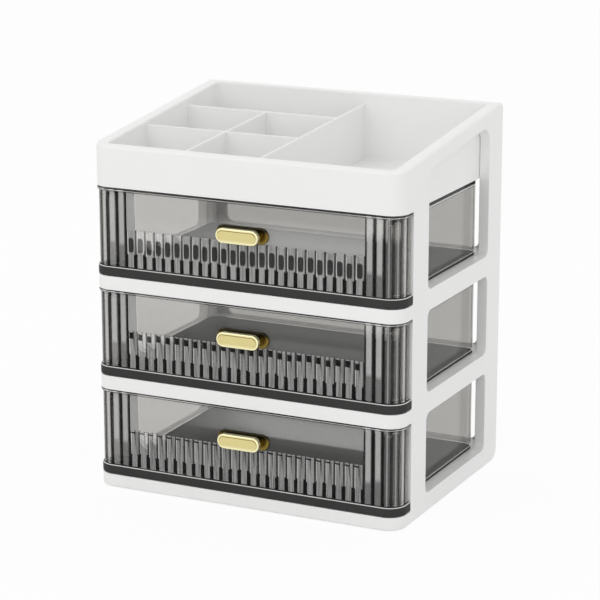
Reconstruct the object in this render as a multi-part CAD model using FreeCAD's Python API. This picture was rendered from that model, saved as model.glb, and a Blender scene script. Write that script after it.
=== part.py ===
import FreeCAD, Part
import math
import os

# Three-drawer desk organizer with a sloping divided tray on top.
# Millimetres. +Z is up and the drawers open towards -Y. The origin is on the table, in the middle of
# the space that the organizer takes up with its pulls.

# Cabinet outline
width = 260.0
depth = 200.0
front_corner_radius = 14.0
rear_bottom_radius = 10.0
rear_top_radius = 5.0
edge_radius = 2.2

# Heights, from the table up
base_clearance = 1.0
base_rail_height = 10.8
opening_height = 69.6
rail_height = 10.8
tray_gap = 0.6
band_height = 31.9
rim_rise = 21.5

# Side frames
side_thickness = 8.5
front_post_width = 29.0
rear_post_width = 28.0
window_radius = 6.0
slope_window_radius = 15.0
window_head = 1.0
rim_strip = 11.5

# Shelves
wall = 2.2
plate_thickness = 2.4
sill_step = 4.5
peg_diameter = 5.0
peg_length = 4.0
peg_drop = 4.0

# Rear frame
rear_inset = 3.0
rear_thickness = 3.0
rear_stile = 8.0
groove_depth = 2.0

# Top tray
lip_thickness = 5.0
rim_width = 8.0
rim_inner_radius = 1.0
tray_wall = 1.6
tray_floor = 2.0
tray_sink = 4.1
tub_radius = 4.0
divider_thickness = 1.8
divider_rise = 11.0
right_cell_width = 106.0
left_cell_width = 69.0
near_cell_depth = 62.0
middle_cell_depth = 68.0

# Drawers
drawer_rear_gap = 18.0
drawer_rear_radius = 8.0
drawer_wall = 2.0
floor_thickness = 2.0
side_play = 2.2
foot_band_height = 7.4
foot_band_proud = 0.2
top_rim_height = 2.0
top_rim_proud = 0.1
front_inset = 4.2
reed_inset = 2.1
reed_crest = 1.1
reed_top = 38.0
shoulder_width = 16.0
wing_length = 7.5
flat_reed_count = 25
shoulder_reed_count = 2
corner_reed_count = 3
soft_edge = 0.5

# Pulls and their screws
pull_length = 35.6
pull_height = 11.6
pull_rise = 0.6
face_depth = 4.6
neck_depth = 4.2
ring_depth = 2.4
ring_step = -0.3
ring_reach = 4.0
neck_step = 1.0
face_round = 0.9
land_inset = 1.6
land_height = 0.5
screw_diameter = 3.0
screw_spacing = 16.0
screw_bite = 6.0
screw_head_diameter = 5.6
screw_head_height = 1.8
screw_slot = 0.9

# Feet
foot_diameter = 14.0
foot_height = 2.4
foot_margin = 4.0
boss_wall = 2.0

# Clearances
joint_gap = 0.2
run_gap = 0.4
step_gap = 0.6
post_gap = 0.5
box_clearance = 0.6
screw_gap = 0.1

# Pieces that come once per level, from the table up
drawer_names = ("bottom_drawer", "middle_drawer", "top_drawer")
shelf_names = ("base_deck", "lower_shelf", "upper_shelf")
levels = range(len(drawer_names))

half_width = width / 2
pull_depth = face_depth + neck_depth + ring_depth
pull_centre = reed_top + pull_rise + pull_height / 2
pull_reach = pull_depth + land_height - reed_inset
front_y = (pull_reach - depth) / 2
rear_y = front_y + depth
side_inner = half_width - side_thickness
wing_end = front_y + front_corner_radius + wing_length
post_front = wing_end + post_gap
window_front = post_front + front_post_width
window_rear = rear_y - rear_post_width
drawer_pitch = opening_height + rail_height
rail_tops = [base_clearance + base_rail_height + level * drawer_pitch for level in levels]
rail_bottoms = [base_clearance] + [top + opening_height for top in rail_tops[:-1]]
sills = [top + sill_step for top in rail_tops]
band_bottom = rail_tops[-1] + opening_height + tray_gap
front_rim = band_bottom + band_height
rear_rim = front_rim + rim_rise
tray_bottom = band_bottom - tray_sink
tray_floor_top = tray_bottom + tray_floor
rear_frame_y = rear_y - rear_inset - rear_thickness
shelf_rear = rear_frame_y - joint_gap
step_inset = front_inset + step_gap
box_half_width = side_inner - side_play
box_front = front_y + front_inset
box_rear = rear_frame_y - drawer_rear_gap
box_height = opening_height + tray_gap - tray_sink - box_clearance
window_half_width = half_width - front_corner_radius - shoulder_width
tub_half_width = side_inner - joint_gap
tub_inner = tub_half_width - tray_wall
tub_front = front_y + rim_width
tub_rear = shelf_rear - tray_wall
main_divider_x = tub_inner - right_cell_width - divider_thickness / 2
minor_divider_x = -tub_inner + left_cell_width + divider_thickness / 2
near_divider_y = tub_front + near_cell_depth + divider_thickness / 2
far_divider_y = near_divider_y + middle_cell_depth + divider_thickness
# Cutting tools reach this far past what they cut.
past = 20.0
# Places closer together than this count as one.
near_enough = 0.01

Vector = FreeCAD.Vector
UP = Vector(0, 0, 1)


def rim_z(y):
    """Height of the sloping rim at a place along the depth."""
    return front_rim + rim_rise * (y - front_y) / depth


def same(a, b):
    return abs(a - b) < near_enough


def midpoint(edge):
    return edge.valueAt((edge.FirstParameter + edge.LastParameter) / 2)


def box(x0, x1, y0, y1, z0, z1):
    return Part.makeBox(x1 - x0, y1 - y0, z1 - z0, Vector(x0, y0, z0))


def on_plan(z):
    return lambda u, v: Vector(u, v, z)


def on_side(x):
    return lambda u, v: Vector(x, u, v)


def on_front(y):
    return lambda u, v: Vector(u, y, v)


def rounded_face(corners, place):
    """Face through (u, v, radius) corners, with an arc at each corner that has a radius."""
    points = [Vector(u, v, 0) for u, v, radius in corners]
    edges = []
    runs = []
    for i, (u, v, radius) in enumerate(corners):
        to_last = (points[i - 1] - points[i]).normalize()
        to_next = (points[(i + 1) % len(points)] - points[i]).normalize()
        half_angle = to_last.getAngle(to_next) / 2
        reach = radius / math.tan(half_angle)
        inward = (to_last + to_next).normalize()
        middle = points[i] + inward * (radius / math.sin(half_angle) - radius)
        runs.append((points[i] + to_last * reach, middle, points[i] + to_next * reach))
    for i, (start, middle, end) in enumerate(runs):
        before = runs[i - 1][2]
        ends = [place(p.x, p.y) for p in (before, start, middle, end)]
        if ends[0].distanceToPoint(ends[1]) > near_enough:
            edges.append(Part.LineSegment(ends[0], ends[1]).toShape())
        if corners[i][2] > 0:
            edges.append(Part.Arc(ends[1], ends[2], ends[3]).toShape())
    return Part.Face(Part.Wire(edges))


def rectangle(u0, u1, v0, v1, low_radius=0.0, high_radius=0.0):
    """Corners of a rectangle, with one radius on its low side and one on its high side."""
    return [(u0, v0, low_radius), (u1, v0, low_radius), (u1, v1, high_radius), (u0, v1, high_radius)]


def plan_block(inset, z0, z1, back=rear_y):
    """Block on the cabinet's plan outline, drawn in by inset on the front and sides."""
    reach = half_width - inset
    corners = rectangle(-reach, reach, front_y + inset, back, front_corner_radius - inset, 0.0)
    return rounded_face(corners, on_plan(z0)).extrude(UP * (z1 - z0))


def front_ring(outer_inset, inner_inset, z0, z1, back):
    """Wall that follows the front and both corners, between two insets of the plan outline."""
    outer = plan_block(outer_inset, z0, z1, back)
    return outer.cut(plan_block(inner_inset, z0 - past, z1 + past, back + past))


def fuse(shapes):
    return shapes[0].fuse(shapes[1:]).removeSplitter()


def below_rim(drop):
    """Block that holds everything lower than drop under the sloping rim."""
    near = front_y - past
    far = rear_y + past
    high_near = rim_z(near) - drop
    high_far = rim_z(far) - drop
    corners = [(near, -past, 0), (far, -past, 0), (far, high_far, 0), (near, high_near, 0)]
    return rounded_face(corners, on_side(-half_width - past)).extrude(Vector(width + 2 * past, 0, 0))


def cabinet_envelope():
    """The whole outside of the cabinet, which each white piece takes its outer faces from."""
    profile = [
        (front_y, base_clearance, 0),
        (rear_y, base_clearance, rear_bottom_radius),
        (rear_y, rear_rim, rear_top_radius),
        (front_y, front_rim, 0),
    ]
    side_view = rounded_face(profile, on_side(-half_width)).extrude(Vector(width, 0, 0))
    body = plan_block(0, base_clearance, rear_rim).common(side_view)

    def is_outline(edge):
        middle = midpoint(edge)
        on_rim = same(middle.z, rim_z(middle.y)) and middle.y < rear_y - rear_top_radius
        on_bottom = same(middle.z, base_clearance) and middle.y < rear_y - rear_bottom_radius
        behind_corner = middle.y > front_y + front_corner_radius + near_enough
        on_side_face = same(abs(middle.x), half_width) and behind_corner
        return on_rim or on_bottom or on_side_face

    return body.makeFillet(edge_radius, [edge for edge in body.Edges if is_outline(edge)])


def peg_places(level):
    """Where the pegs of a deck or shelf enter a side frame: in the middle of each post."""
    z = sills[level] - plate_thickness - peg_drop
    return [((post_front + window_front) / 2, z), ((window_rear + rear_frame_y) / 2, z)]


def pegs(level, diameter, start, length):
    return [
        Part.makeCylinder(diameter / 2, length, Vector(start, y, z), Vector(1, 0, 0))
        for y, z in peg_places(level)
    ]


def window_corners(level):
    """Outline of one side window in the Y-Z plane; the uppermost follows the slope of the rim."""
    low = sills[level]
    if level != levels[-1]:
        return rectangle(window_front, window_rear, low, rail_bottoms[level + 1] - window_head,
                         window_radius, window_radius)
    return [
        (window_front, low, window_radius),
        (window_rear, low, window_radius),
        (window_rear, rim_z(window_rear) - rim_strip, slope_window_radius),
        (window_front, rim_z(window_front) - rim_strip, window_radius),
    ]


def right_side_frame(envelope):
    zone = box(side_inner, half_width + past, post_front, rear_y + past, 0, rear_rim + past)
    frame = envelope.common(zone).common(below_rim(lip_thickness))
    cuts = []
    for level in levels:
        outline = rounded_face(window_corners(level), on_side(side_inner - past))
        cuts.append(outline.extrude(Vector(side_thickness + 2 * past, 0, 0)))
        cuts += pegs(level, peg_diameter + joint_gap, side_inner, peg_length + joint_gap)
    groove_end = side_inner + groove_depth + joint_gap
    groove_rear = rear_frame_y + rear_thickness + joint_gap
    cuts.append(box(side_inner - past, groove_end, rear_frame_y - joint_gap, groove_rear,
                    base_clearance + rear_inset, rear_rim + past))
    return fuse([frame.cut(cuts)] + [guide_pad(level) for level in levels])


def guide_pad(level):
    """Pad inside the front post that keeps a drawer central as it slides."""
    pad_low = sills[level] + floor_thickness + run_gap
    pad_high = rail_tops[level] + reed_top
    return box(box_half_width + run_gap, side_inner, post_front + wall, window_front - wall,
               pad_low, pad_high)


def mirrored(shape):
    return shape.mirror(Vector(0, 0, 0), Vector(1, 0, 0))


def shelf(envelope, level):
    """Deck or shelf: a wrap-round front rail, and a stepped-up plate with skirts that a drawer slides on."""
    low = rail_bottoms[level]
    top = rail_tops[level]
    sill = sills[level]
    under = sill - plate_thickness
    edge = side_inner - joint_gap
    in_front = box(-half_width - past, half_width + past, front_y - past, post_front, low, top)
    rail = envelope.common(in_front).cut(plan_block(wall, low - past, top - wall, rear_y))
    riser = front_ring(step_inset, step_inset + wall, top - wall, sill, post_front)
    apron = plan_block(step_inset, under, sill, post_front)
    plate = box(-edge, edge, post_front, shelf_rear, under, sill)
    skirts = [
        box(-edge, wall - edge, post_front, shelf_rear, low, under),
        box(edge - wall, edge, post_front, shelf_rear, low, under),
        box(-edge, edge, shelf_rear - wall, shelf_rear, low, under),
        box(-edge, edge, post_front, post_front + wall, low, under),
    ]
    right_pegs = pegs(level, peg_diameter, edge - wall / 2, wall / 2 + joint_gap + peg_length)
    left_pegs = [mirrored(peg) for peg in right_pegs]
    return fuse([rail, riser, apron, plate] + skirts + right_pegs + left_pegs)


def foot_places():
    """Centres of the feet, each clear of the skirts in one corner of the deck."""
    inset = wall + foot_margin + foot_diameter / 2
    x = side_inner - joint_gap - inset
    near = post_front + inset
    far = shelf_rear - inset
    return {
        "foot_front_left": Vector(-x, near, 0),
        "foot_front_right": Vector(x, near, 0),
        "foot_rear_left": Vector(-x, far, 0),
        "foot_rear_right": Vector(x, far, 0),
    }


def base_deck(envelope):
    boss_height = sills[0] - plate_thickness - foot_height
    bosses = [
        Part.makeCylinder(foot_diameter / 2 + boss_wall, boss_height, place + UP * foot_height)
        for place in foot_places().values()
    ]
    return fuse([shelf(envelope, 0)] + bosses)


def foot(place):
    pad = Part.makeCylinder(foot_diameter / 2, foot_height, place)
    rim = [edge for edge in pad.Edges if edge.BoundBox.ZMax < near_enough]
    return pad.makeFillet(soft_edge, rim)


def rear_frame():
    """Open frame that slides into grooves in the side frames and squares the cabinet up."""
    edge = side_inner + groove_depth
    low = base_clearance + rear_inset + joint_gap
    high = rim_z(rear_frame_y) - lip_thickness - joint_gap
    frame = box(-edge, edge, rear_frame_y, rear_frame_y + rear_thickness, low, high)
    reach = side_inner - rear_stile
    for level in levels:
        above = tray_bottom if level == levels[-1] else rail_bottoms[level + 1]
        corners = rectangle(-reach, reach, sills[level], above - window_head, window_radius, window_radius)
        outline = rounded_face(corners, on_front(rear_frame_y - past))
        frame = frame.cut(outline.extrude(Vector(0, rear_thickness + 2 * past, 0)))
    return frame


def tub_block(half, near, far, z0, z1, radius):
    corners = rectangle(-half, half, near, far, radius, radius)
    return rounded_face(corners, on_plan(z0)).extrude(UP * (z1 - z0))


def divider_z(y):
    """Height of the divider tops, which start level with the front rim and rise less than it does."""
    return rim_z(tub_front) + divider_rise * (y - tub_front) / (tub_rear - tub_front)


def long_divider(x, far):
    """Divider that runs from the front wall back to far."""
    near = tub_front - tray_wall / 2
    corners = [
        (near, tray_bottom, 0),
        (far, tray_bottom, 0),
        (far, divider_z(far), 0),
        (near, divider_z(near), 0),
    ]
    outline = rounded_face(corners, on_side(x - divider_thickness / 2))
    return outline.extrude(Vector(divider_thickness, 0, 0))


def cross_divider(y):
    """Divider from the left wall to the main divider."""
    left = -tub_inner - tray_wall / 2
    half = divider_thickness / 2
    return box(left, main_divider_x, y - half, y + half, tray_bottom, divider_z(y))


def top_tray(envelope):
    cavity = tub_block(tub_inner, tub_front, tub_rear, tray_floor_top, rear_rim + past, tub_radius)
    lip = envelope.cut(below_rim(lip_thickness)).cut(cavity)

    def is_inner_rim(edge):
        middle = midpoint(edge)
        within_x = abs(middle.x) < tub_inner + near_enough
        within_y = tub_front - near_enough < middle.y < tub_rear + near_enough
        return within_x and within_y and same(middle.z, rim_z(middle.y))

    lip = lip.makeFillet(rim_inner_radius, [edge for edge in lip.Edges if is_inner_rim(edge)])
    band_zone = box(-half_width - past, half_width + past, front_y - past, post_front, band_bottom, rear_rim)
    band = envelope.common(band_zone).common(below_rim(lip_thickness))
    hollow = plan_block(wall, band_bottom + wall, rear_rim, rear_y)
    band = band.cut(hollow).cut(cavity)
    tub = tub_block(tub_half_width, tub_front - tray_wall, shelf_rear, tray_bottom, rear_rim,
                    tub_radius + tray_wall)
    tub = tub.common(below_rim(lip_thickness)).cut(cavity)
    dividers = [
        long_divider(main_divider_x, tub_rear + tray_wall / 2),
        long_divider(minor_divider_x, far_divider_y),
        cross_divider(near_divider_y),
        cross_divider(far_divider_y),
    ]
    return fuse([lip, band, tub] + dividers)


def drawer_outline(half, near, far, radius, z0, z1):
    corners = rectangle(-half, half, near, far, 0.0, radius)
    return rounded_face(corners, on_plan(z0)).extrude(UP * (z1 - z0))


def soften(shape, z, outer_inset):
    """Round the outer edge of a front ring at one height."""
    radius = front_corner_radius - outer_inset
    reach = half_width - outer_inset
    near = front_y + outer_inset

    def is_outer(edge):
        middle = midpoint(edge)
        at_height = same(edge.BoundBox.ZMin, z) and same(edge.BoundBox.ZMax, z)
        on_front_face = same(middle.y, near)
        on_side_face = same(abs(middle.x), reach)
        past_x = abs(middle.x) - reach + radius
        past_y = near + radius - middle.y
        on_corner = past_x > 0 and past_y > 0 and same(math.hypot(past_x, past_y), radius)
        return at_height and (on_front_face or on_side_face or on_corner)

    return shape.makeFillet(soft_edge, [edge for edge in shape.Edges if is_outer(edge)])


def drawer_base(level):
    """Dark floor with the foot band that laps down over the edge of the shelf."""
    top = rail_tops[level]
    band_low = top + run_gap
    band_high = band_low + foot_band_height
    floor_low = sills[level] + run_gap / 2
    band = front_ring(-foot_band_proud, front_inset, band_low, band_high, wing_end)
    band = soften(soften(band, band_low, -foot_band_proud), band_high, -foot_band_proud)
    floor = drawer_outline(box_half_width, box_front - front_inset / 2, box_rear, drawer_rear_radius,
                           floor_low, floor_low + floor_thickness)
    return fuse([band, floor])


def reed(start, end, outward):
    """One rounded reed of the front, as an arc that swells outwards between two valley points."""
    middle = (start + end) * 0.5 + outward * reed_crest
    return Part.Arc(start, middle, end).toShape()


def reeds_between(start, end, count, outward):
    step = (end - start) * (1.0 / count)
    return [reed(start + step * i, start + step * (i + 1), outward) for i in range(count)]


def corner_reeds(z):
    """Reeds from the edge of the clear window round the right-hand corner to the end of the wing."""
    valley_y = front_y + reed_inset
    side_x = half_width - reed_inset
    radius = front_corner_radius - reed_inset
    centre = Vector(half_width - front_corner_radius, front_y + front_corner_radius, z)
    forward = Vector(0, -1, 0)
    sideways = Vector(1, 0, 0)
    edges = reeds_between(Vector(window_half_width, valley_y, z), Vector(centre.x, valley_y, z),
                          shoulder_reed_count, forward)
    turn = math.pi / 2 / corner_reed_count

    def spoke(angle):
        return Vector(math.sin(angle), -math.cos(angle), 0)

    for i in range(corner_reed_count):
        crest = centre + spoke(turn * (i + 0.5)) * (radius + reed_crest)
        start = centre + spoke(turn * i) * radius
        end = centre + spoke(turn * (i + 1)) * radius
        edges.append(Part.Arc(start, crest, end).toShape())
    edges.append(reed(Vector(side_x, centre.y, z), Vector(side_x, wing_end, z), sideways))
    return edges


def front_wall(z0, z1, reeded):
    """Front of a drawer between two heights: reeded corners, and a middle that is reeded or smooth."""
    right = corner_reeds(z0)
    left = [mirrored(edge) for edge in right]
    left_edge = Vector(-window_half_width, front_y + reed_inset, z0)
    right_edge = Vector(window_half_width, front_y + reed_inset, z0)
    if reeded:
        middle = reeds_between(left_edge, right_edge, flat_reed_count, Vector(0, -1, 0))
    else:
        middle = [Part.LineSegment(left_edge, right_edge).toShape()]
    side_x = half_width - reed_inset
    inner_x = half_width - front_inset
    inner_radius = front_corner_radius - front_inset
    bend = inner_radius * (1 - math.sqrt(0.5))
    inner_bend = front_y + front_corner_radius
    flat_end = half_width - front_corner_radius
    inner = []
    for sign in (1, -1):
        tip = Vector(sign * side_x, wing_end, z0)
        inner_tip = Vector(sign * inner_x, wing_end, z0)
        turn_start = Vector(sign * inner_x, inner_bend, z0)
        turn_middle = Vector(sign * (inner_x - bend), box_front + bend, z0)
        turn_end = Vector(sign * flat_end, box_front, z0)
        inner.append(Part.LineSegment(tip, inner_tip).toShape())
        inner.append(Part.LineSegment(inner_tip, turn_start).toShape())
        inner.append(Part.Arc(turn_start, turn_middle, turn_end).toShape())
    back = Part.LineSegment(Vector(flat_end, box_front, z0), Vector(-flat_end, box_front, z0)).toShape()
    outline = Part.Wire(Part.__sortEdges__(right + left + middle + inner + [back]))
    return Part.Face(outline).extrude(UP * (z1 - z0))


def screw_places(level):
    z = rail_tops[level] + pull_centre
    return [Vector(sign * screw_spacing / 2, 0, z) for sign in (-1, 1)]


def drawer_shell(level, base):
    """Clear walls of a drawer: reeded front with a smooth window, a thin top rim, two sides and a back."""
    top = rail_tops[level]
    front_low = top + run_gap + foot_band_height
    front_high = top + opening_height - run_gap
    rim_low = front_high - top_rim_height
    lower = front_wall(front_low, top + reed_top, True)
    upper = front_wall(top + reed_top, rim_low, False)
    rim = front_ring(-top_rim_proud, front_inset, rim_low, front_high, wing_end)
    rim = soften(rim, front_high, -top_rim_proud)
    walls_low = sills[level] + run_gap / 2 + floor_thickness
    walls_high = top + box_height
    walls = drawer_outline(box_half_width, box_front - front_inset / 2, box_rear, drawer_rear_radius,
                           walls_low, walls_high)
    inside = drawer_outline(box_half_width - drawer_wall, box_front - front_inset, box_rear - drawer_wall,
                            drawer_rear_radius - drawer_wall, walls_low - past, walls_high + past)
    shell = fuse([lower, upper, rim, walls.cut(inside)]).cut(base)
    holes = [
        Part.makeCylinder(screw_diameter / 2 + screw_gap, 2 * past, place + Vector(0, front_y - past, 0),
                          Vector(0, 1, 0))
        for place in screw_places(level)
    ]
    return shell.cut(holes)


def stadium(length, height, z, near, far):
    """Pill-shaped block, centred on X, between two places along the depth."""
    reach = (length - height) / 2
    radius = height / 2
    top_left = Vector(-reach, near, z + radius)
    top_right = Vector(reach, near, z + radius)
    low_left = Vector(-reach, near, z - radius)
    low_right = Vector(reach, near, z - radius)
    edges = [
        Part.LineSegment(top_left, top_right).toShape(),
        Part.Arc(top_right, Vector(reach + radius, near, z), low_right).toShape(),
        Part.LineSegment(low_right, low_left).toShape(),
        Part.Arc(low_left, Vector(-reach - radius, near, z), top_left).toShape(),
    ]
    return Part.Face(Part.Wire(edges)).extrude(Vector(0, far - near, 0))


def drawer_pull(level):
    """Gold pull: a long base ring on the window, a narrower neck, and a rounded face with a raised land."""
    z = rail_tops[level] + pull_centre
    seat = front_y + reed_inset
    near = seat - pull_depth
    face_back = near + face_depth
    face = stadium(pull_length, pull_height, z, near, face_back)
    face = face.makeFillet(face_round, [edge for edge in face.Edges if edge.BoundBox.YLength < near_enough])
    land = stadium(pull_length - 2 * land_inset, pull_height - 2 * land_inset, z, near - land_height, near)
    land_edges = [edge for edge in land.Edges if edge.BoundBox.YMax < near - near_enough]
    land = land.makeFillet(land_height / 2, land_edges)
    neck = stadium(pull_length - 2 * neck_step, pull_height - 2 * neck_step, z, face_back, seat - ring_depth)
    ring = stadium(pull_length + 2 * ring_reach, pull_height - 2 * ring_step, z, seat - ring_depth, seat)
    ring_edges = [edge for edge in ring.Edges if edge.BoundBox.YMax < seat - ring_depth + near_enough]
    ring = ring.makeFillet(face_round, ring_edges)
    pull = fuse([land, face, neck, ring])
    holes = [
        Part.makeCylinder(screw_diameter / 2 + screw_gap, screw_bite + screw_gap, place + Vector(0, seat, 0),
                          Vector(0, -1, 0))
        for place in screw_places(level)
    ]
    return pull.cut(holes)


def pull_screws(level):
    """The two screws of a pull, with their heads on the inner face of the drawer front."""
    screws = []
    for place in screw_places(level):
        seat = place + Vector(0, box_front, 0)
        shank_length = front_inset - reed_inset + screw_bite
        shank = Part.makeCylinder(screw_diameter / 2, shank_length, seat, Vector(0, -1, 0))
        head = Part.makeCylinder(screw_head_diameter / 2, screw_head_height, seat, Vector(0, 1, 0))
        head = head.makeFillet(soft_edge, [e for e in head.Edges if e.BoundBox.YMin > seat.y + soft_edge])
        slot = box(seat.x - screw_head_diameter, seat.x + screw_head_diameter,
                   seat.y + screw_head_height - screw_slot, seat.y + screw_head_height + past,
                   seat.z - screw_slot / 2, seat.z + screw_slot / 2)
        screws.append(shank.fuse(head).removeSplitter().cut(slot))
    return Part.makeCompound(screws)


def all_parts():
    envelope = cabinet_envelope()
    right = right_side_frame(envelope)
    parts = {
        "right_side_frame": right,
        "left_side_frame": mirrored(right),
        "rear_frame": rear_frame(),
        "top_tray": top_tray(envelope),
    }
    for name, place in foot_places().items():
        parts[name] = foot(place)
    for level in levels:
        parts[shelf_names[level]] = shelf(envelope, level) if level else base_deck(envelope)
        name = drawer_names[level]
        base = drawer_base(level)
        parts[name + "_base"] = base
        parts[name + "_shell"] = drawer_shell(level, base)
        parts[name + "_pull"] = drawer_pull(level)
        parts[name + "_screws"] = pull_screws(level)
    return parts


def main():
    os.makedirs("parts", exist_ok=True)
    for name, shape in all_parts().items():
        shape.exportStep(os.path.join("parts", name + ".step"))
        centimetres = shape.Volume / 1000
        print(f"{name}: solids {len(shape.Solids)}, valid {shape.isValid()}, {centimetres:.2f} cm3")


main()
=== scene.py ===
# %% [markdown]
# # A drawer organizer, modelled as by hand
# The object is a white cabinet with open sides. It holds three smoke-clear drawers, each on a dark base and with a
# gold pull, and a sloping tray with dividers closes it at the top.
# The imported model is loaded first, as a fixed frame in metres. Each new piece takes its place and size from it, so
# nothing has to be fitted afterwards.

# %% Load the frame
import math

import bmesh
import bpy
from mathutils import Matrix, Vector


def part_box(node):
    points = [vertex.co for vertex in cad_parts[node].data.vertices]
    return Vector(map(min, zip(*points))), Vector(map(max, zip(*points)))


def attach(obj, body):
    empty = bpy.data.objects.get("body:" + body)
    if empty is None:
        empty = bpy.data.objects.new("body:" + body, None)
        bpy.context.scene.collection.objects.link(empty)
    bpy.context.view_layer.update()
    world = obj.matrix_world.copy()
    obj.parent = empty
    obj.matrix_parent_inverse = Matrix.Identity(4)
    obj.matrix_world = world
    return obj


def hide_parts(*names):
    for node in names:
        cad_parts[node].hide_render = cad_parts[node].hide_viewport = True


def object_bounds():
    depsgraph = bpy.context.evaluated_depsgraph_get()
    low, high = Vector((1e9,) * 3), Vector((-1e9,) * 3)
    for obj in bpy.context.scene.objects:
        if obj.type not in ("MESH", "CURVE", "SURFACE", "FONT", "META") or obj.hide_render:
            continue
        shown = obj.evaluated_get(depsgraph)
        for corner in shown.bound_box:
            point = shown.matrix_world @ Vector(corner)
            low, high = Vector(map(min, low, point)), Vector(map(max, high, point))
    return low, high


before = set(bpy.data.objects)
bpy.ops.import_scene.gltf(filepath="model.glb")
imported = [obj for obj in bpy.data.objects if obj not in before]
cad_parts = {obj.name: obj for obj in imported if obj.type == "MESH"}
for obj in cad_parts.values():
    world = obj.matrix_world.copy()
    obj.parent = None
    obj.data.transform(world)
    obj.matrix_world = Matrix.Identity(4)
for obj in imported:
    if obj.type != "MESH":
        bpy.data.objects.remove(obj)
cad_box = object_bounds()
whole = cad_box[1] - cad_box[0]
print(f"frame: {len(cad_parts)} nodes, {whole.x:.3f} x {whole.y:.3f} x {whole.z:.3f} m")

# %% [markdown]
# ## Tools for modelling
# By hand, most of this work is: add a cube, pick some edges, bevel them, cut with a plane. In a script the picking is
# done by place, so these few helpers name the steps. Each starts with nothing selected, because an operator acts on
# all that is selected, and the frame's own nodes come in selected.

# %% Picking parts of a mesh by place
NEAR = 1e-5
SHARP = math.radians(40)


def lies_at(part, **place):
    """True if every corner of a vertex, edge or face has these coordinates, as in lies_at(edge, y=front)."""
    corners = getattr(part, "verts", [part])
    return all(abs(corner.co["xyz".index(axis)] - value) < NEAR
               for corner in corners for axis, value in place.items())


def is_sharp(edge):
    return edge.calc_face_angle(0.0) > SHARP


def only(*pieces):
    """Selects just these pieces, in object mode, and makes the first one active."""
    if bpy.context.mode != "OBJECT":
        bpy.ops.object.mode_set(mode="OBJECT")
    bpy.ops.object.select_all(action="DESELECT")
    for piece in pieces:
        piece.select_set(True)
    bpy.context.view_layer.objects.active = pieces[0]


def choose(piece, kind, test):
    """Opens a piece in edit mode with only those vertices, edges or faces selected that pass a test."""
    only(piece)
    bpy.ops.object.mode_set(mode="EDIT")
    bpy.ops.mesh.select_mode(type=kind)
    bpy.ops.mesh.select_all(action="DESELECT")
    mesh = bmesh.from_edit_mesh(piece.data)
    for part in {"VERT": mesh.verts, "EDGE": mesh.edges, "FACE": mesh.faces}[kind]:
        if test(part):
            part.select_set(True)
    bmesh.update_edit_mesh(piece.data)


def close(piece):
    """Leaves edit mode."""
    bpy.ops.object.mode_set(mode="OBJECT")
    return piece


def everything(part):
    return True


# %% Adding, rounding, slicing and joining
def block(name, low, high):
    """A box between two corners, with its place in its mesh."""
    bpy.ops.object.select_all(action="DESELECT")
    low, high = Vector(low), Vector(high)
    bpy.ops.mesh.primitive_cube_add(size=1, location=(low + high) / 2, scale=high - low)
    piece = bpy.context.object
    piece.name = name
    bpy.ops.object.transform_apply(location=True, rotation=True, scale=True)
    return piece


def round_edges(piece, radius, segments, test):
    choose(piece, "EDGE", test)
    bpy.ops.mesh.bevel(offset=radius, segments=segments, affect="EDGES")
    return close(piece)


def slice_off(piece, point, outward):
    """Cuts a piece by a plane, drops what lies on the outward side and closes the cut."""
    choose(piece, "FACE", everything)
    bpy.ops.mesh.bisect(plane_co=point, plane_no=outward, use_fill=True, clear_outer=True)
    return close(piece)


def combine(piece, tool, operation):
    """Applies a Boolean modifier (DIFFERENCE or UNION) and deletes the tool."""
    modifier = piece.modifiers.new("shape", "BOOLEAN")
    modifier.operation = operation
    modifier.solver = "EXACT"
    modifier.object = tool
    only(piece)
    bpy.ops.object.modifier_apply(modifier=modifier.name)
    bpy.data.objects.remove(tool)
    return piece


def join(name, *pieces):
    only(*pieces)
    bpy.ops.object.join()
    pieces[0].name = name
    return pieces[0]


def copy_of(piece, name, shift=(0, 0, 0)):
    """A copy with a mesh of its own, moved by shift."""
    only(piece)
    bpy.ops.object.duplicate()
    copy = bpy.context.object
    copy.name = name
    bpy.ops.transform.translate(value=shift)
    bpy.ops.object.transform_apply(location=True, rotation=True, scale=True)
    return copy


def mirror_of(piece, name):
    """A copy on the other side of the middle plane, with its faces turned outwards again."""
    copy = copy_of(piece, name)
    choose(copy, "FACE", everything)
    bpy.ops.transform.resize(value=(-1, 1, 1), center_override=(0, 0, 0))
    bpy.ops.mesh.normals_make_consistent(inside=False)
    return close(copy)


# %% Handing a finished piece over to the frame
SMOOTH = math.radians(28)


def hand_over(piece, body, slot, finish, *nodes):
    """Shades a piece, gives it its finish, hangs it on its body's empty, and hides the nodes it stands in for."""
    only(piece)
    bpy.ops.object.shade_smooth_by_angle(angle=SMOOTH)
    weighted = piece.modifiers.new("flat faces stay flat", "WEIGHTED_NORMAL")
    weighted.keep_sharp = True
    bpy.ops.object.modifier_apply(modifier=weighted.name)
    piece.data.materials.clear()
    piece.data.materials.append(finish)
    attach(piece, body)
    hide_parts(*nodes)
    print(f"{piece.name}: {len(piece.data.polygons)} faces, on {body}")


# %% [markdown]
# ## Tools for finishes
# A finish is a small node tree. Writing it as sums and products reads better than wiring Math nodes one by one, so a
# small class wraps a socket and adds those nodes. Every pattern reads Object coordinates, which are metres here, so
# a noise scale of 1000 has grains of about a millimetre.

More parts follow.
